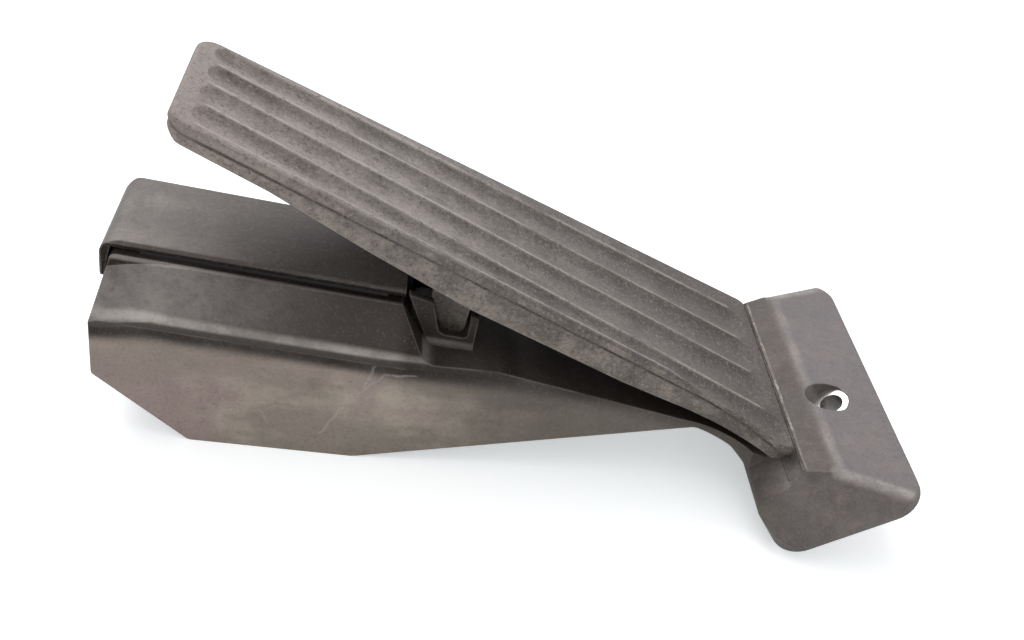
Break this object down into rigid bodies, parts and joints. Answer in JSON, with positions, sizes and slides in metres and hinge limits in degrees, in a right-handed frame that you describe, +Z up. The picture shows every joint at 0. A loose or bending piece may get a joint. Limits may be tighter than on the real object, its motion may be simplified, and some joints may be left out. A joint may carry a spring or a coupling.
{
  "type": "accelerator pedal module",
  "caption": "Floor-hinged accelerator pedal module with a grooved tread, a sensor housing under a deck cover, and a sloped foot plate with a steel-bushed bolt hole.",
  "frame": {"origin": "middle of the bounding box at the level the module stands on", "axes": "+X from the connector end to the foot plate, +Y to the far side, +Z up"},
  "size_m": [0.229, 0.1006, 0.0975],
  "materials": {
    "housing_plastic": "moulded, dusty",
    "cover_plastic": "moulded, dusty",
    "tread_plastic": "moulded, worn and dusty",
    "hinge_plastic": "moulded",
    "lever_plastic": "moulded",
    "pale_plastic": "moulded",
    "bright_steel": "turned",
    "zinc_steel": "zinc plated",
    "spring_steel": "drawn wire",
    "rotor_metal": "stamped",
    "bronze": "sintered",
    "tinned_brass": "tinned",
    "board": "solder mask",
    "chip": "moulded",
    "rubber": "moulded"
  },
  "bodies": {
    "housing": {"lower_housing": "housing_plastic", "top_cover": "cover_plastic", "base_cover": "housing_plastic", "base_screws": "zinc_steel", "mounting_bush": "bright_steel", "hinge_strip": "hinge_plastic", "lever_axle": "bright_steel", "spring_seat": "pale_plastic", "outer_return_spring": "spring_steel", "inner_return_spring": "spring_steel", "friction_shoe": "pale_plastic", "sensor_board": "board", "sensor_chips": "chip", "terminals": "tinned_brass", "idle_stop": "rubber", "full_stop": "rubber", "cover_gasket": "rubber"},
    "tread": {"tread_plate": "tread_plastic"},
    "lever": {"drive_lever": "lever_plastic", "hub_bushes": "bronze", "sensor_rotor": "rotor_metal"}
  },
  "joints": [
    {"name": "tread_hinge", "type": "hinge", "parent": "housing", "child": "tread", "pos_m": [0.082, 0, 0.025], "axis": [0, -1, 0], "range_deg": [0, 7.2], "stiffness_Nm_per_rad": 0.6, "springref_deg": -5.73},
    {"name": "lever_pivot", "type": "hinge", "parent": "housing", "child": "lever", "pos_m": [-0.078, 0, 0.026], "axis": [0, 1, 0], "range_deg": [0, 13.39], "stiffness_Nm_per_rad": 3.6, "springref_deg": -12.61, "deforming": ["outer_return_spring", "inner_return_spring"]}
  ],
  "couplings": [
    {"joint": "lever_pivot", "follows": "tread_hinge", "ratio": 1.86}
  ]
}
